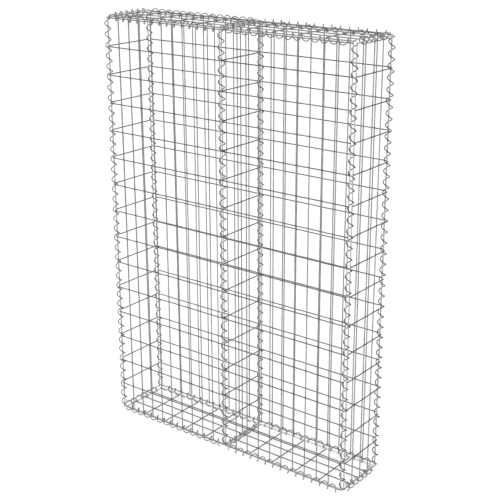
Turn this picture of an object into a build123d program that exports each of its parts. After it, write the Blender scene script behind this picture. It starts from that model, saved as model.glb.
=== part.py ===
from build123d import *

import os
from math import atan2, ceil, cos, degrees, floor, pi, radians, sin, sqrt

# A gabion basket for a free-standing wall, empty and closed, in two bays.
# Welded wire mesh panels make its faces, its ends, the divider between the bays, the bases and the lids.
# Along every edge a wire spiral winds round the edge wires of the panels that meet there.
# Millimetres. X runs along the wall, the front faces -Y, and Z is up from the ground.

# Panels, between the centres of their edge wires
bay_length = 500
basket_depth = 200
basket_height = 1500
upright_spacing = 50
level_spacing = 100
mesh_wire = 4

# Joints, between the centres of the edge wires that meet
bay_gap = 8.4
end_gap = 8.8
face_gap = 10.4
base_gap = 7.2

# Room between the lids and the top of the divider
lid_clearance = 0.6

# Spirals
spiral_wire = 3
spiral_clearance = 0.3
segments_per_turn = 6
turns_per_level = 3
turns_per_cross_wire = 3
turns_per_depth_cell = 2

# Square bars with the same section as the round wire
square_share = sqrt(pi) / 2
mesh_bar = mesh_wire * square_share
spiral_bar = spiral_wire * square_share
half_bar = mesh_bar / 2
half_diagonal = spiral_bar / sqrt(2)

# Mesh cells, evened out over each panel
uprights_per_cross_wire = 2
cross_cells = round(bay_length / (upright_spacing * uprights_per_cross_wire))
cross_cell = bay_length / cross_cells
upright_cell = cross_cell / uprights_per_cross_wire
depth_cell = basket_depth / round(basket_depth / upright_spacing)
level_cell = basket_height / round(basket_height / level_spacing)

# Edge wires, counted from the basket's middle
bay_start = bay_gap / 2
bay_middle = bay_start + bay_length / 2
bay_stop = bay_start + bay_length
end_x = bay_stop + end_gap
end_level_x = end_x - mesh_bar
edge_y = basket_depth / 2
face_y = edge_y + face_gap
face_level_y = face_y - mesh_bar
wall_half = basket_height / 2
lid_gap = mesh_bar + lid_clearance
edge_halves = {"base": wall_half + base_gap, "lid": wall_half + lid_gap}

sides = {"left": -1, "right": 1}
faces = {"front": -1, "back": 1}
storeys = {"base": -1, "lid": 1}
left_handed = -1

step_angle = 360 / segments_per_turn
corner_share = cos(pi / segments_per_turn)


def mesh_panel(contact, width, height, column_cell, row_cell):
    """Columns outside and rows inside the contact plane, welded where they cross."""
    columns = round(width / column_cell) + 1
    rows = round(height / row_cell) + 1
    with BuildPart() as panel:
        with BuildSketch(contact):
            with GridLocations(column_cell, 0, columns, 1):
                Rectangle(mesh_bar, height + mesh_bar)
        extrude(amount=mesh_bar)
        with BuildSketch(contact):
            with GridLocations(0, row_cell, 1, rows):
                Rectangle(width + mesh_bar, mesh_bar)
        extrude(amount=-mesh_bar)
    return panel.part


def joint_centre(wires):
    """The point that is equally far from the two or three edge wires of a joint."""
    if len(wires) == 2:
        return (Vector(*wires[0]) + Vector(*wires[1])) / 2
    return ThreePointArc(*wires, mode=Mode.PRIVATE).arc_center


def coil_radius(wires, centre, turn):
    """Radius of the corners of a coil, turned by so many degrees, that just clears the edge wires."""
    reach = 0
    for u, v in wires:
        for k in range(segments_per_turn):
            normal = radians(turn + step_angle * (k + 1 / 2))
            across = (u - centre.X) * cos(normal) + (v - centre.Y) * sin(normal)
            reach = max(reach, across + half_bar * (abs(cos(normal)) + abs(sin(normal))))
    return (reach + spiral_clearance + half_diagonal) / corner_share


def coil_reach(radius):
    """How far a coil stands out from its axis."""
    return radius + half_diagonal / corner_share


def snug_turn(wires, centre):
    """The turn at which a coil round these edge wires is smallest."""
    return min(range(int(step_angle)), key=lambda turn: coil_radius(wires, centre, turn))


def wire_spiral(section, centre, radius, turn, span, pitch, clear_at, clear_angle, hand):
    """A spiral along the section's normal, pointing to clear_angle where it passes the wire at clear_at."""
    step = pitch / segments_per_turn
    lead = hand * (turn - clear_angle) / step_angle % 1
    start, stop = span
    first = ceil((start - clear_at) / step - lead)
    last = floor((stop - clear_at) / step - lead)
    points = []
    for k in range(first, last + 1):
        angle = radians(clear_angle + hand * step_angle * (lead + k))
        across = centre.X + radius * cos(angle)
        up = centre.Y + radius * sin(angle)
        points.append((across, up, clear_at + step * (lead + k)))
    with BuildPart() as spiral:
        with BuildLine(section) as path:
            Polyline(*points)
        with BuildSketch(Plane(origin=path.line @ 0, z_dir=path.line % 0)):
            Rectangle(spiral_bar, spiral_bar)
        sweep(transition=Transition.RIGHT)
    return spiral.part


pieces = {}

# Wall panels: uprights outside, level wires inside
for side_name, side in sides.items():
    for face_name, face in faces.items():
        contact = Plane(
            origin=(side * bay_middle, face * (face_y - half_bar), 0), x_dir=(1, 0, 0), z_dir=(0, face, 0)
        )
        pieces[f"{face_name}_panel_{side_name}"] = mesh_panel(
            contact, bay_length, basket_height, upright_cell, level_cell
        )
    contact = Plane(origin=(side * (end_x - half_bar), 0, 0), x_dir=(0, 1, 0), z_dir=(side, 0, 0))
    pieces[f"end_panel_{side_name}"] = mesh_panel(
        contact, basket_depth, basket_height, depth_cell, level_cell
    )

# Divider between the bays, with its uprights on the middle plane
contact = Plane(origin=(half_bar, 0, 0), x_dir=(0, 1, 0), z_dir=(-1, 0, 0))
pieces["divider_panel"] = mesh_panel(contact, basket_depth, basket_height, depth_cell, level_cell)

# Bases and lids: cross wires outside, long wires inside
for side_name, side in sides.items():
    for storey_name, storey in storeys.items():
        contact = Plane(
            origin=(side * bay_middle, 0, storey * (edge_halves[storey_name] + half_bar)),
            x_dir=(1, 0, 0),
            z_dir=(0, 0, storey),
        )
        pieces[f"{storey_name}_panel_{side_name}"] = mesh_panel(
            contact, bay_length, basket_depth, cross_cell, depth_cell
        )

# Upright spirals at the corners and at both edges of the divider, clear of the level wires
upright_span = (-wall_half, wall_half)
upright_pitch = level_cell / turns_per_level
for face_name, face in faces.items():
    for side_name, side in sides.items():
        wires = [(side * bay_stop, face * face_y), (side * end_x, face * edge_y)]
        corner = joint_centre(wires)
        turn = snug_turn(wires, corner)
        corner_radius = coil_radius(wires, corner, turn)
        outwards = degrees(atan2(face, side))
        pieces[f"corner_spiral_{face_name}_{side_name}"] = wire_spiral(
            Plane.XY, corner, corner_radius, turn, upright_span, upright_pitch,
            -wall_half, outwards, left_handed,
        )
    wires = [(-bay_start, face * face_y), (0, face * edge_y), (bay_start, face * face_y)]
    middle = joint_centre(wires)
    turn = snug_turn(wires, middle)
    middle_radius = coil_radius(wires, middle, turn)
    outwards = degrees(atan2(face, 0))
    pieces[f"middle_spiral_{face_name}"] = wire_spiral(
        Plane.XY, middle, middle_radius, turn, upright_span, upright_pitch,
        -wall_half, outwards, left_handed,
    )

# Level spirals along the bases and the lids: coils of one size, each with flats at its top and bottom
cross_pitch = cross_cell / turns_per_cross_wire
depth_pitch = depth_cell / turns_per_depth_cell
flat_down = (90 - step_angle / 2) % step_angle
edge_wires = {}
coil_halves = {}
for storey_name, edge_half in edge_halves.items():
    cross_half = edge_half + mesh_bar
    edge_wires[storey_name] = {
        "bay": [(face_level_y, wall_half), (edge_y, edge_half)],
        "end": [(end_level_x, wall_half), (bay_stop, cross_half)],
        "divider": [(-bay_start, cross_half), (mesh_bar, wall_half), (bay_start, cross_half)],
    }
    coil_halves[storey_name] = joint_centre(edge_wires[storey_name]["divider"]).Y


def level_coil(storey_name, joint):
    """Centre and radius of the smallest level coil at a joint, on the level of its storey."""
    wires = edge_wires[storey_name][joint]
    centre = Vector(joint_centre(wires).X, coil_halves[storey_name])
    return centre, coil_radius(wires, centre, flat_down)


def widest_coil(storey_name):
    """Radius of the smallest coil that goes round every joint of a storey."""
    return max(level_coil(storey_name, joint)[1] for joint in edge_wires[storey_name])


def seat_level_coil(storey_name, joint):
    """How far out a level coil lies, drawn in against the outer of its edge wires."""
    centre, radius = level_coil(storey_name, joint)
    return centre.X - (level_radius - radius)


# The lids' coils hang on their edge wires by the room that is left in them
level_radius = max(widest_coil(storey_name) for storey_name in storeys)
coil_halves["lid"] -= (level_radius - widest_coil("lid")) * corner_share

# The level spirals stop short of the upright ones and of each other
bay_span_start = coil_reach(middle_radius) + spiral_clearance
bay_span_stop = abs(corner.X) - coil_reach(corner_radius) - spiral_clearance
for storey_name, storey in storeys.items():
    coil_z = storey * coil_halves[storey_name]
    bay_coil_y = seat_level_coil(storey_name, "bay")
    end_coil_x = seat_level_coil(storey_name, "end")
    depth_span_half = bay_coil_y - coil_reach(level_radius) - spiral_clearance
    depth_span = (-depth_span_half, depth_span_half)
    for side_name, side in sides.items():
        hand = side * storey
        bay_span = sorted((side * bay_span_start, side * bay_span_stop))
        for face_name, face in faces.items():
            centre = Vector(face * bay_coil_y, coil_z)
            inwards = degrees(atan2(-storey, -face))
            pieces[f"{storey_name}_spiral_{face_name}_{side_name}"] = wire_spiral(
                Plane.YZ, centre, level_radius, flat_down, bay_span, cross_pitch,
                side * bay_start, inwards, hand,
            )
        centre = Vector(side * end_coil_x, coil_z)
        outwards = degrees(atan2(storey, side))
        pieces[f"{storey_name}_spiral_end_{side_name}"] = wire_spiral(
            Plane.XZ, centre, level_radius, flat_down, depth_span, depth_pitch, edge_y, outwards, hand
        )
    centre = Vector(0, coil_z)
    outwards = degrees(atan2(storey, 0))
    pieces[f"{storey_name}_spiral_middle"] = wire_spiral(
        Plane.XZ, centre, level_radius, flat_down, depth_span, depth_pitch, edge_y, outwards, storey
    )

# The basket stands on its lowest spirals
lowest = min(piece.bounding_box().min.Z for piece in pieces.values())
os.makedirs("parts", exist_ok=True)
for name, piece in pieces.items():
    standing = piece.moved(Location((0, 0, -lowest)))
    standing.label = name
    export_step(standing, f"parts/{name}.step")
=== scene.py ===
import math

import bpy
import numpy as np
from mathutils import Matrix, Vector


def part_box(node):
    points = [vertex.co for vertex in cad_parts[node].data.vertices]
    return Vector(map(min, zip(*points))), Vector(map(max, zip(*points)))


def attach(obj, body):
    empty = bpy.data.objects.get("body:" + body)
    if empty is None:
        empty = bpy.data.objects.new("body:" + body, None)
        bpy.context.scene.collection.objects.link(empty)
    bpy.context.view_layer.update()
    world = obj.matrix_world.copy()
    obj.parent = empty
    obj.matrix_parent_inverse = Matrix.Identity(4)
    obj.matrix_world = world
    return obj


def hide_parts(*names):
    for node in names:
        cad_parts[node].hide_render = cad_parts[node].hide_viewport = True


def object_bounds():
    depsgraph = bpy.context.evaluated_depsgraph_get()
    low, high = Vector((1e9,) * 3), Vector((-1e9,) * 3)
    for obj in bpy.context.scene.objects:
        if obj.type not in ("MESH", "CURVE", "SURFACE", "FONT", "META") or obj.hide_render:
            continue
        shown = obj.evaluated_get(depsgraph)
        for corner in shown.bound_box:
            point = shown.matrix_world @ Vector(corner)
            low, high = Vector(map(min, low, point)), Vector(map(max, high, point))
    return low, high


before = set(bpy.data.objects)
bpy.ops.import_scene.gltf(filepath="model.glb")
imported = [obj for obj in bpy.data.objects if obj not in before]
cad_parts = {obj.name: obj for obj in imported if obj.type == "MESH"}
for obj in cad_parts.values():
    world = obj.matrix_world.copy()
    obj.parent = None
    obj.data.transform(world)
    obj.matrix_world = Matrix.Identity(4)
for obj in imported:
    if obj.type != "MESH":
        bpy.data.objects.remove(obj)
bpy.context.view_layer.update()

# An empty gabion basket of welded wire mesh, laced along its edges with wire spirals.
# Metres. X runs along the wall, the front faces -Y, and Z is up from the ground.

X, Y, Z = np.eye(3)
SIDES = {"left": -1, "right": 1}
FACES = {"front": -1, "back": 1}
STOREYS = {"base": -1, "lid": 1}
random_seed = 7

# Mesh panels, each of two layers of wire
upright_spacing = 0.050
level_spacing = 0.100
divider_spacing = 0.100
mesh_wire = 0.004
mesh_wire_sides = 12
panel_layers = 2

# Panels lie loose in their spirals: metres outwards, or to the left for the divider, from their nodes' middle
panel_lies = {
    "front": 0.0022,
    "back": 0.0022,
    "end": 0.0018,
    "divider": 0.0031,
    "base": -0.0019,
    "lid": -0.0001,
}

# Inside their edges panels bow, and their wires drift sideways, in so many half waves across a panel
panel_bow = 0.0004
bow_waves = 2
panel_drift = 0.0002
slow_drift_waves = 3
quick_drift_waves = 7
cross_drift_waves = 2
run_drift_waves = 5

# Welds, where metal is squeezed out between two crossing wires
weld_radius = 0.0026
weld_height = 0.0012
weld_sides = 10
weld_ring_degrees = (-50, 0, 50)
weld_spread = 0.14
weld_tint_reach = 0.005

# Rings of a wire on both sides of each weld, closer than elsewhere so that the tint fades smoothly
weld_steps = (-0.008, -0.004, 0.0, 0.004, 0.008)

# Wire ends, sheared off with a slightly rounded edge
cut_rounding = 0.0004
sharp_angle = math.radians(50)

# Spirals: eight turns to three levels upright, three to a cross wire along the bays, seven across the depth
spiral_wire = 0.0033
spiral_wire_sides = 10
steps_per_turn = 24
corner_coil_radius = 0.0100
middle_coil_radius = 0.0103
level_coil_radii = {"base": 0.0113, "lid": 0.0107}
divider_coil_radius = 0.0093
upright_pitch = 3 * level_spacing / 8
bay_pitch = level_spacing / 3
depth_pitch = 4 * upright_spacing / 7

# The radius of a coil wanders a little along it, in a slow wave and a quick one
coil_wander = 0.00008
slow_wander_turns = 5.3
quick_wander_turns = 7 / slow_wander_turns

# A turn that would touch a crossing mesh wire slips round the coil, in steps, until it clears the wire.
# Wires whose places along the coil agree to so many digits are passed together.
slip_gap = 0.0003
slip_reach = 0.009
slip_step = math.radians(3)
slip_tries = 60
same_place_digits = 4

# Spirals lie loose round their edge wires. For each: metres outwards and up from the middle of its node,
# the angle in degrees where it is counted from, and 1 or -1 for the way it turns.
# Upright ones are counted from the lowest level wire, the others from the middle of the basket.
spiral_lies = {
    "corner_spiral_front_left": (0.0, 0.0, 29, -1),
    "corner_spiral_front_right": (0.0, 0.0, 34, -1),
    "corner_spiral_back_left": (0.0, 0.0, 29, -1),
    "corner_spiral_back_right": (0.0, 0.0, 30, -1),
    "middle_spiral_front": (-0.0005, 0.0, 32, -1),
    "middle_spiral_back": (-0.0005, 0.0, 25, -1),
    "base_spiral_front_left": (0.0032, 0.0026, 85, 1),
    "base_spiral_front_right": (0.0045, 0.0004, 94, -1),
    "base_spiral_back_left": (0.0027, 0.0049, 50, 1),
    "base_spiral_back_right": (0.0027, 0.0049, 136, -1),
    "base_spiral_end_left": (0.0032, 0.0021, 188, -1),
    "base_spiral_end_right": (0.0040, 0.0014, 288, 1),
    "base_spiral_middle": (0.0, 0.0002, 308, 1),
    "lid_spiral_front_left": (0.0043, -0.0026, 280, -1),
    "lid_spiral_front_right": (0.0043, -0.0024, 266, 1),
    "lid_spiral_back_left": (0.0043, -0.0021, 331, -1),
    "lid_spiral_back_right": (0.0046, -0.0013, 248, 1),
    "lid_spiral_end_left": (0.0043, -0.0001, 189, 1),
    "lid_spiral_end_right": (0.0041, -0.0009, 300, 1),
    "lid_spiral_middle": (0.0, 0.0015, 91, -1),
}

# A node this near to the middle of the basket has no outer side
middle_reach = 0.00025

# Zinc: the colours of its dark, middle and light patches, and the scale of its crystals. All the wires are
# one galvanised steel; the different zincs of the kinds of wire are painted light and shade. Pale is on the
# top and bottom wires of the ends and the divider, the edges of the bases and the outermost cross wires of
# the lids. Edge is on the outermost uprights, and rim on the top and bottom wires of the walls: these three
# are lightened, as painted light against the shade of the spirals round them. Upright is on the other
# uprights and the welds of the walls, lighter as painted light. Level is on the other level wires and the
# rest of the bases, darker as painted shade.
# Lid is lightened, painted light against the dim sky overhead. The spirals' zincs are darkened as painted
# shade, the upright ones most.
mesh_spangle = 300.0
coil_spangle = 420.0
zinc_finishes = {
    # Pale, edge and rim: lightened, painted light against the shade of the spirals.
    "pale_painted_light_zinc": ((0.54, 0.545, 0.548), (0.66, 0.665, 0.668), (0.78, 0.785, 0.788), mesh_spangle),
    "edge_painted_light_zinc": ((0.45, 0.455, 0.458), (0.57, 0.575, 0.578), (0.69, 0.695, 0.698), mesh_spangle),
    "rim_painted_light_zinc": ((0.18, 0.184, 0.186), (0.26, 0.265, 0.267), (0.36, 0.365, 0.368), mesh_spangle),
    # Upright: lighter, painted light. Level: darker, painted shade.
    "upright_painted_light_zinc": ((0.225, 0.23, 0.232), (0.32, 0.325, 0.328), (0.435, 0.44, 0.443), mesh_spangle),
    "level_painted_shade_zinc": ((0.10, 0.103, 0.105), (0.155, 0.159, 0.161), (0.25, 0.255, 0.258), mesh_spangle),
    # Lid: lightened, painted light against the dim sky overhead.
    "lid_painted_light_zinc": ((0.23, 0.235, 0.238), (0.32, 0.325, 0.328), (0.43, 0.435, 0.438), mesh_spangle),
    # Spirals: darkened, painted shade, the upright ones most.
    "upright_coil_painted_shade_zinc": ((0.055, 0.058, 0.06), (0.09, 0.094, 0.096), (0.16, 0.165, 0.168), coil_spangle),
    "level_coil_painted_shade_zinc": ((0.165, 0.168, 0.17), (0.24, 0.244, 0.246), (0.335, 0.34, 0.343), coil_spangle),
}

# How the patches of the zinc are made up, and where its three colours lie in them
cloud_scale = 38.0
cloud_detail = 4.0
cloud_roughness = 0.6
grain_scale = 1400.0
grain_detail = 2.0
crystal_share = 0.30
tone_share = 0.05
grain_share = 0.12
weld_tint_share = 0.16
dark_place = 0.30
middle_place = 0.56
light_place = 0.85
zinc_metallic = 0.8
dark_roughness = 0.62
light_roughness = 0.42
relief_cloud_share = 0.5
relief_strength = 0.25
relief_depth = 0.0003

# Camera, found by fitting the mesh wires to the photograph
photo_pixels = 500
focal_pixels = 1077.8
view_azimuth = math.radians(37.775)
view_elevation = math.radians(19.177)
view_roll = math.radians(-0.131)
view_distance = 3.7623
view_target = Vector((0.0351, -0.0006, 0.7477))

# Studio: white round the horizon, dimmer overhead, one soft key light, and a floor that shows as white
floor_half = 40.0
floor_albedo = 0.4
floor_glow = 0.73
white_below = math.radians(15)
dim_above = math.radians(75)
horizon_light = 1.0
overhead_light = 0.35
key_light = 1.4
key_softness = math.radians(40)
key_azimuth = math.radians(-15)
key_elevation = math.radians(45)
camera_reach = 4 * floor_half


def ring_faces(count, sides):
    """The numbers of the points in rings, those of the points after them, and the faces between the rings."""
    points = np.arange(count * sides).reshape(count, sides)
    after = np.roll(points, -1, 1)
    faces = np.stack([points[:-1], after[:-1], after[1:], points[1:]], axis=-1)
    return points, after, faces.reshape(-1, 4).tolist()


def wire_tube(path, guide, wire, sides):
    """Vertices and faces of a round wire along a path, with a cut face at both ends."""
    start, stop = path[0], path[-1]
    first, last = path[1] - path[0], path[-1] - path[-2]
    shoulder_start = start + first / np.linalg.norm(first) * cut_rounding
    shoulder_stop = stop - last / np.linalg.norm(last) * cut_rounding
    path = np.vstack([start, shoulder_start, path[1:-1], shoulder_stop, stop])
    guide = np.vstack([guide[0], guide, guide[-1]])
    radii = np.full(len(path), wire / 2)
    radii[[0, -1]] -= cut_rounding

    tangents = np.gradient(path, axis=0)
    tangents /= np.linalg.norm(tangents, axis=1, keepdims=True)
    normals = guide - np.sum(guide * tangents, axis=1, keepdims=True) * tangents
    normals /= np.linalg.norm(normals, axis=1, keepdims=True)
    binormals = np.cross(tangents, normals)
    turns = np.linspace(0, 2 * math.pi, sides, endpoint=False)[None, :, None]
    around = np.cos(turns) * normals[:, None] + np.sin(turns) * binormals[:, None]
    vertices = (path[:, None] + radii[:, None, None] * around).reshape(-1, 3)

    points, _, faces = ring_faces(len(path), sides)
    faces.append(points[0][::-1].tolist())
    faces.append(points[-1].tolist())
    return vertices, faces


def weld_bead(radius, height):
    """Vertices and faces of the lens of metal that a spot weld squeezes out, about the origin."""
    turns = np.linspace(0, 2 * math.pi, weld_sides, endpoint=False)
    rings = []
    for angle in np.radians(weld_ring_degrees):
        reach = radius * np.cos(angle)
        level = np.full(weld_sides, height * np.sin(angle))
        rings.append(np.c_[reach * np.cos(turns), reach * np.sin(turns), level])
    vertices = np.vstack([*rings, [0, 0, -height], [0, 0, height]])
    bottom, top = len(vertices) - 2, len(vertices) - 1
    points, after, faces = ring_faces(len(rings), weld_sides)
    faces += [[bottom, b, a] for a, b in zip(points[0].tolist(), after[0].tolist())]
    faces += [[a, b, top] for a, b in zip(points[-1].tolist(), after[-1].tolist())]
    return vertices, faces


class Pieces:
    """Wires and welds gathered into one mesh, with a tone for each wire and the tint of the welds."""

    def __init__(self, *materials):
        self.materials = materials
        self.vertices, self.faces, self.tones, self.tints, self.finishes = [], [], [], [], []
        self.count = 0

    def add(self, vertices, faces, material, tone, tint):
        """Adds a wire or a weld, with one tone and with a tint for the whole or for each vertex."""
        self.vertices.append(vertices)
        self.faces += [[self.count + k for k in face] for face in faces]
        self.tones.append(np.full(len(vertices), tone))
        self.tints.append(np.broadcast_to(tint, len(vertices)))
        self.finishes += [self.materials.index(material)] * len(faces)
        self.count += len(vertices)

    def place(self, name, node, slot, vertices):
        """Makes the object, with its vertices where they lie in the frame, in place of a node."""
        mesh = bpy.data.meshes.new(name)
        mesh.from_pydata(vertices.tolist(), [], self.faces)
        for label, values in (("tone", self.tones), ("weld_tint", self.tints)):
            attribute = mesh.attributes.new(label, "FLOAT", "POINT")
            attribute.data.foreach_set("value", np.concatenate(values).astype(np.float32))
        mesh.shade_smooth()
        mesh.set_sharp_from_angle(angle=sharp_angle)
        for material in self.materials:
            mesh.materials.append(material)
        mesh.polygons.foreach_set("material_index", self.finishes)
        piece = bpy.data.objects.new(name, mesh)
        bpy.context.scene.collection.objects.link(piece)
        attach(piece, "root")
        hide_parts(node)


def spread(start, stop, cell):
    """Even places from start to stop, about a cell apart."""
    return np.linspace(start, stop, round((stop - start) / cell) + 1)


def stations(start, stop, crossings):
    """Places for the rings along a wire: its ends, close together at each weld, and halfway between welds."""
    near = (crossings[:, None] + np.array(weld_steps)).ravel()
    between = (crossings[1:] + crossings[:-1]) / 2
    inside = np.sort(np.r_[near, between])
    inside = inside[(inside > start + cut_rounding) & (inside < stop - cut_rounding)]
    return np.r_[start, inside, stop]


def weld_tint(places, crossings):
    """How much of the weld's heat tint shows at these places along a wire."""
    nearest = np.abs(places[:, None] - crossings[None, :]).min(axis=1)
    return np.exp(-((nearest / weld_tint_reach) ** 2))


def panel_wires(panel, axes, way, span, offsets, crossings, depth, zincs, random):
    """Adds a layer of wires to a panel, along its u where the way is 0 and its v where it is 1.

    Returns the ends of the wires.
    """
    zinc, edge_painted_light_zinc = zincs
    places = stations(*span, crossings)
    guide = np.tile(np.eye(3)[1 - way], (len(places), 1))
    ends = []
    for offset in offsets:
        path = np.full((len(places), 3), depth)
        path[:, way] = places
        path[:, 1 - way] = offset
        ends.append(path[[0, -1]] @ axes)
        vertices, faces = wire_tube(path, guide, mesh_wire, mesh_wire_sides)
        # The outermost wires take the edge zinc. Where it is lighter, it is painted light against the shade
        # of the spirals.
        wire_zinc = edge_painted_light_zinc if offset in offsets[[0, -1]] else zinc
        panel.add(vertices, faces, wire_zinc, random.normal(), weld_tint(vertices[:, way], crossings))
    return ends


def bent(vertices, u_span, v_span, random):
    """The vertices of a flat panel, bowed and with wires that drift, but held at its edges."""
    u, v, w = vertices.T
    share_u = (u - u_span[0]) / (u_span[1] - u_span[0])
    share_v = (v - v_span[0]) / (v_span[1] - v_span[0])
    held = np.sin(math.pi * np.clip(share_u, 0, 1)) * np.sin(math.pi * np.clip(share_v, 0, 1))
    bow_v, bow_u, slow, quick, cross = random.uniform(0, 2 * math.pi, 5)
    bow = np.sin(math.pi * share_v * bow_waves + bow_v) + np.sin(math.pi * share_u * bow_waves + bow_u)
    drift_u = np.sin(math.pi * (slow_drift_waves * share_v + share_u) + slow)
    drift_u = drift_u + np.sin(math.pi * quick_drift_waves * share_v + quick)
    drift_v = np.sin(math.pi * (cross_drift_waves * share_u + run_drift_waves * share_v) + cross)
    u = u + held * panel_drift * drift_u
    v = v + held * panel_drift * drift_v
    w = w + held * panel_bow * bow / 2
    return np.c_[u, v, w]


def mesh_panel(node, run, out, outer, inner, weld_zinc, random):
    """A welded panel of round wire in place of a node: outer wires along its run, inner ones across them.

    The panel's own u, v and w lie across its run, along it and outwards. Returns the ends of its wires.
    """
    axes = np.array((np.cross(run, out), run, out))
    corners = np.array(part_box(node)) + panel_lies[node.split("_")[0]] * out
    u_span, v_span, w_span = (sorted(corners @ axis) for axis in axes)
    half_bar = (w_span[1] - w_span[0]) / panel_layers / 2
    outer_cell, *outer_zincs = outer
    inner_cell, *inner_zincs = inner
    outer_u = spread(u_span[0] + half_bar, u_span[1] - half_bar, outer_cell)
    inner_v = spread(v_span[0] + half_bar, v_span[1] - half_bar, inner_cell)
    outer_w, inner_w = w_span[1] - half_bar, w_span[0] + half_bar

    panel = Pieces(*dict.fromkeys((*outer_zincs, *inner_zincs, weld_zinc)))
    ends = panel_wires(panel, axes, 1, v_span, outer_u, inner_v, outer_w, outer_zincs, random)
    ends += panel_wires(panel, axes, 0, u_span, inner_v, outer_u, inner_w, inner_zincs, random)
    for u in outer_u:
        for v in inner_v:
            size = 1 + weld_spread * random.uniform(-1, 1)
            vertices, faces = weld_bead(weld_radius * size, weld_height * size)
            panel.add(vertices + (u, v, (outer_w + inner_w) / 2), faces, weld_zinc, random.normal(), 1)
    vertices = bent(np.vstack(panel.vertices), u_span, v_span, random) @ axes
    panel.place(f"{node}_wires", node, "mesh_wire", vertices)
    return ends


def wire_distance(points, wire):
    """How near the middle line of a wire, given by its ends, comes to these points."""
    start, run = wire[0], wire[1] - wire[0]
    share = np.clip((points - start) @ run / (run @ run), 0, 1)
    return np.linalg.norm(points - start - np.outer(share, run), axis=1).min()


def crossing_wires(mesh_wires, axis, along, reach):
    """The mesh wires that cross a spiral within its reach, by their places along it."""
    found = {}
    for wire in mesh_wires:
        place = wire[0] @ along
        crosses = abs(wire[1] @ along - place) < mesh_wire
        beside = axis + (place - axis @ along) * along
        if crosses and wire_distance(beside[None], wire) < reach:
            found.setdefault(round(place, same_place_digits), []).append(wire)
    return found


def spiral(node, along, counted_from, radius, pitch, material, mesh_wires, random):
    """A smooth spiral in place of a node, which slips past the mesh wires that cross its path."""
    out, up, angle, hand = spiral_lies[node]
    low, high = (np.array(corner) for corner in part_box(node))
    middle = (low + high) / 2
    outer_side = np.where(np.abs(middle) > middle_reach, np.sign(middle), 0) * (1 - along) * (1 - Z)
    axis = middle + out * outer_side + up * Z
    start, stop = low @ along + spiral_wire / 2, high @ along - spiral_wire / 2
    flat, rise = (way for way in (X, Y, Z) if way @ along == 0)
    places = np.linspace(start, stop, round((stop - start) / pitch * steps_per_turn) + 1)
    turns = (places - counted_from) / pitch
    slow, quick = random.uniform(0, 2 * math.pi, 2)
    wander = np.sin(2 * math.pi * turns / slow_wander_turns + slow)
    wander = wander + np.sin(2 * math.pi * turns / quick_wander_turns + quick)
    reach = radius + coil_wander * wander / 2

    def wound(angles):
        """The path of the coil, and the way outwards from its axis along that path."""
        outward = np.outer(np.cos(angles), flat) + np.outer(np.sin(angles), rise)
        return axis - (axis @ along) * along + reach[:, None] * outward + np.outer(places, along), outward

    angles = math.radians(angle) + hand * 2 * math.pi * turns
    clear = (mesh_wire + spiral_wire) / 2 + slip_gap
    # The smallest slip, either way, that clears all the wires at a place
    slips = [0] + [way * k * slip_step for k in range(1, slip_tries + 1) for way in (1, -1)]
    for wire_place, wires in crossing_wires(mesh_wires, axis, along, radius + clear).items():
        near = np.abs(places - wire_place) < pitch / 2
        if not near.any():
            continue
        bump = np.exp(-(((places - wire_place) / slip_reach) ** 2))
        for slip in slips:
            path = wound(angles + slip * bump)[0][near]
            if min(wire_distance(path, wire) for wire in wires) >= clear:
                angles = angles + slip * bump
                break

    path, outward = wound(angles)
    coil = Pieces(material)
    vertices, faces = wire_tube(path, outward, spiral_wire, spiral_wire_sides)
    coil.add(vertices, faces, material, random.normal(), 0)
    coil.place(f"{node}_wire", node, "spiral_wire", vertices)


def set_input(tree, socket, value):
    """Sets an input of a shader node, or links it where the value is another node's socket."""
    if isinstance(value, bpy.types.NodeSocket):
        tree.links.new(value, socket)
    else:
        socket.default_value = value


def add_node(tree, kind, **inputs):
    """A shader node with its inputs set by name."""
    made = tree.nodes.new(kind)
    for label, value in inputs.items():
        set_input(tree, made.inputs[label.replace("_", " ")], value)
    return made


def add_maths(tree, operation, *values):
    """The result of a maths node."""
    made = tree.nodes.new("ShaderNodeMath")
    made.operation = operation
    for socket, value in zip(made.inputs, values):
        set_input(tree, socket, value)
    return made.outputs[0]


def add_attribute(tree, name):
    """What a mesh says of a point under this name."""
    made = tree.nodes.new("ShaderNodeAttribute")
    made.attribute_name = name
    return made.outputs["Fac"]


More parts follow.
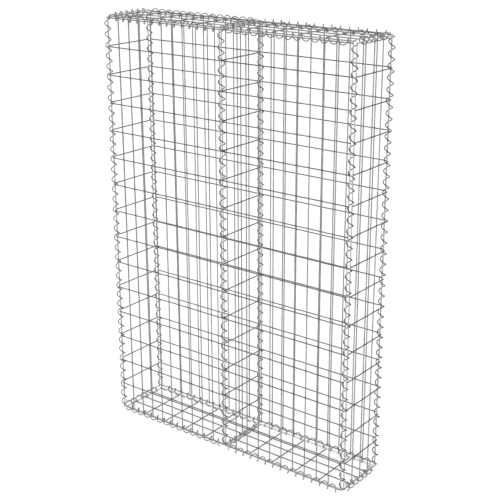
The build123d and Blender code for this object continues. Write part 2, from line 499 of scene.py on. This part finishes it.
def galvanised(name, dark, middle, light, spangle_scale):
    """Dull zinc on drawn wire: cloudy patches, crystal spangle, fine grain, and darker welds."""
    material = bpy.data.materials.new(name)
    material.use_nodes = True
    tree = material.node_tree
    shader = tree.nodes["Principled BSDF"]
    place = tree.nodes.new("ShaderNodeTexCoord").outputs["Object"]
    cloud_noise = add_node(tree, "ShaderNodeTexNoise", Vector=place, Scale=cloud_scale, Detail=cloud_detail)
    cloud_noise.inputs["Roughness"].default_value = cloud_roughness
    crystals = add_node(tree, "ShaderNodeTexVoronoi", Vector=place, Scale=spangle_scale)
    grain_noise = add_node(tree, "ShaderNodeTexNoise", Vector=place, Scale=grain_scale, Detail=grain_detail)
    clouds, spangle, grain = cloud_noise.outputs["Fac"], crystals.outputs["Color"], grain_noise.outputs["Fac"]

    crystal = add_maths(tree, "MULTIPLY_ADD", spangle, crystal_share, -crystal_share / 2)
    level = add_maths(tree, "ADD", clouds, crystal)
    level = add_maths(tree, "MULTIPLY_ADD", add_attribute(tree, "tone"), tone_share, level)
    level = add_maths(tree, "MULTIPLY_ADD", grain, grain_share, level)
    level = add_maths(tree, "MULTIPLY_ADD", add_attribute(tree, "weld_tint"), -weld_tint_share, level)
    ramp = add_node(tree, "ShaderNodeValToRGB", Fac=level)
    ramp.color_ramp.elements[0].position = dark_place
    ramp.color_ramp.elements[0].color = (*dark, 1)
    ramp.color_ramp.elements[1].position = light_place
    ramp.color_ramp.elements[1].color = (*light, 1)
    ramp.color_ramp.elements.new(middle_place).color = (*middle, 1)
    tree.links.new(ramp.outputs["Color"], shader.inputs["Base Color"])
    shader.inputs["Metallic"].default_value = zinc_metallic
    gloss = add_node(tree, "ShaderNodeMapRange", Value=level, To_Min=dark_roughness, To_Max=light_roughness)
    tree.links.new(gloss.outputs["Result"], shader.inputs["Roughness"])
    relief = add_maths(tree, "MULTIPLY_ADD", clouds, relief_cloud_share, grain)
    bump = add_node(tree, "ShaderNodeBump", Height=relief, Strength=relief_strength, Distance=relief_depth)
    tree.links.new(bump.outputs["Normal"], shader.inputs["Normal"])
    return material


def shown_rays(tree):
    """1 for the rays that see the background: from the camera, off gloss and through glass."""
    path = tree.nodes.new("ShaderNodeLightPath")
    seen = path.outputs["Is Camera Ray"]
    for label in ("Is Glossy Ray", "Is Transmission Ray"):
        seen = add_maths(tree, "MAXIMUM", seen, path.outputs[label])
    return seen


def build_panels(zincs, random):
    """All the mesh panels. Returns the ends of their wires."""
    # The zincs carry painted light and shade: lighter uprights, edges, rims, pale wires and lids, darker
    # level wires.
    pale_painted_light_zinc, level_painted_shade_zinc, lid_painted_light_zinc = zincs["pale_painted_light_zinc"], zincs["level_painted_shade_zinc"], zincs["lid_painted_light_zinc"]
    upright_painted_light_zinc, edge_painted_light_zinc = zincs["upright_painted_light_zinc"], zincs["edge_painted_light_zinc"]
    uprights = (upright_spacing, upright_painted_light_zinc, edge_painted_light_zinc)
    levels = (level_spacing, level_painted_shade_zinc, zincs["rim_painted_light_zinc"])
    end_levels = (level_spacing, level_painted_shade_zinc, pale_painted_light_zinc)
    flats = {"base": (level_painted_shade_zinc, pale_painted_light_zinc), "lid": (lid_painted_light_zinc, lid_painted_light_zinc)}
    wires = []
    for side_name, side in SIDES.items():
        for face_name, face in FACES.items():
            node = f"{face_name}_panel_{side_name}"
            wires += mesh_panel(node, X, face * Y, levels, uprights, upright_painted_light_zinc, random)
        wires += mesh_panel(f"end_panel_{side_name}", Y, side * X, end_levels, uprights, upright_painted_light_zinc, random)
        for storey_name, storey in STOREYS.items():
            node = f"{storey_name}_panel_{side_name}"
            zinc, long_edge_zinc = flats[storey_name]
            cross_wires = (level_spacing, zinc, pale_painted_light_zinc)
            long_wires = (upright_spacing, zinc, long_edge_zinc)
            wires += mesh_panel(node, Y, storey * Z, cross_wires, long_wires, zinc, random)
    divider_uprights = (divider_spacing, upright_painted_light_zinc, edge_painted_light_zinc)
    wires += mesh_panel("divider_panel", Z, -X, divider_uprights, end_levels, upright_painted_light_zinc, random)
    return wires


def build_spirals(upright_painted_light_zinc, level_painted_shade_zinc, mesh_wires, random):
    """All the spirals, which pass the mesh wires."""
    wall_low, wall_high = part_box("front_panel_right")
    lowest_level = wall_low.z + (wall_high.y - wall_low.y) / panel_layers / 2
    # The spirals' zincs are darkened, painted shade.
    upright = (upright_pitch, upright_painted_light_zinc, mesh_wires, random)
    along_bay = (bay_pitch, level_painted_shade_zinc, mesh_wires, random)
    across_depth = (depth_pitch, level_painted_shade_zinc, mesh_wires, random)
    for face_name in FACES:
        for side_name in SIDES:
            spiral(f"corner_spiral_{face_name}_{side_name}", Z, lowest_level, corner_coil_radius, *upright)
        spiral(f"middle_spiral_{face_name}", Z, lowest_level, middle_coil_radius, *upright)
    for storey_name, radius in level_coil_radii.items():
        for side_name in SIDES:
            for face_name in FACES:
                spiral(f"{storey_name}_spiral_{face_name}_{side_name}", X, 0, radius, *along_bay)
            spiral(f"{storey_name}_spiral_end_{side_name}", Y, 0, radius, *across_depth)
        spiral(f"{storey_name}_spiral_middle", Y, 0, divider_coil_radius, *across_depth)


def build_floor():
    """A pale floor that keeps the shadow, and glows only for the rays that see the background."""
    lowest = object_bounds()[0].z
    mesh = bpy.data.meshes.new("floor")
    corners = [(-1, -1), (1, -1), (1, 1), (-1, 1)]
    mesh.from_pydata([(x * floor_half, y * floor_half, lowest) for x, y in corners], [], [(0, 1, 2, 3)])
    floor = bpy.data.objects.new("floor", mesh)
    bpy.context.scene.collection.objects.link(floor)
    material = bpy.data.materials.new("floor")
    material.use_nodes = True
    tree = material.node_tree
    tree.nodes.clear()
    matt = add_node(tree, "ShaderNodeBsdfDiffuse", Color=(floor_albedo, floor_albedo, floor_albedo, 1))
    strength = add_maths(tree, "MULTIPLY", shown_rays(tree), floor_glow)
    glow = add_node(tree, "ShaderNodeEmission", Strength=strength)
    both = tree.nodes.new("ShaderNodeAddShader")
    tree.links.new(matt.outputs[0], both.inputs[0])
    tree.links.new(glow.outputs[0], both.inputs[1])
    add_node(tree, "ShaderNodeOutputMaterial", Surface=both.outputs[0])
    mesh.materials.append(material)


def build_light():
    """A sky that is white round the horizon, and a key light."""
    world = bpy.data.worlds.new("studio")
    world.use_nodes = True
    tree = world.node_tree
    tree.nodes.clear()
    towards = tree.nodes.new("ShaderNodeTexCoord").outputs["Generated"]
    direction = add_node(tree, "ShaderNodeSeparateXYZ", Vector=towards)
    level = add_node(tree, "ShaderNodeMapRange", Value=direction.outputs["Z"])
    level.interpolation_type = "SMOOTHSTEP"
    level.inputs["From Min"].default_value = math.sin(white_below)
    level.inputs["From Max"].default_value = math.sin(dim_above)
    level.inputs["To Min"].default_value = horizon_light
    level.inputs["To Max"].default_value = overhead_light
    sky = add_node(tree, "ShaderNodeBackground", Color=(1, 1, 1, 1), Strength=level.outputs["Result"])
    add_node(tree, "ShaderNodeOutputWorld", Surface=sky.outputs[0])
    bpy.context.scene.world = world

    lamp = bpy.data.lights.new("key", "SUN")
    lamp.energy = key_light
    lamp.angle = key_softness
    key = bpy.data.objects.new("key", lamp)
    key.rotation_euler = (math.pi / 2 - key_elevation, 0, key_azimuth)
    bpy.context.scene.collection.objects.link(key)


def build_camera():
    """The camera of the photograph."""
    data = bpy.data.cameras.new("camera")
    data.lens = data.sensor_width * focal_pixels / photo_pixels
    data.clip_end = camera_reach
    camera = bpy.data.objects.new("camera", data)
    turn = Matrix.Rotation(view_azimuth, 4, "Z") @ Matrix.Rotation(math.pi / 2 - view_elevation, 4, "X")
    turn = turn @ Matrix.Rotation(view_roll, 4, "Z")
    eye = view_target + turn @ Vector((0, 0, view_distance))
    camera.matrix_world = Matrix.Translation(eye) @ turn
    bpy.context.scene.collection.objects.link(camera)
    bpy.context.scene.camera = camera


random = np.random.default_rng(random_seed)
# Each zinc's tone is painted light and shade on one galvanised steel.
zincs = {name: galvanised(name, *finish) for name, finish in zinc_finishes.items()}
mesh_wires = build_panels(zincs, random)
build_spirals(zincs["upright_coil_painted_shade_zinc"], zincs["level_coil_painted_shade_zinc"], mesh_wires, random)
build_floor()
build_light()
build_camera()
bpy.context.scene.view_settings.view_transform = "Standard"
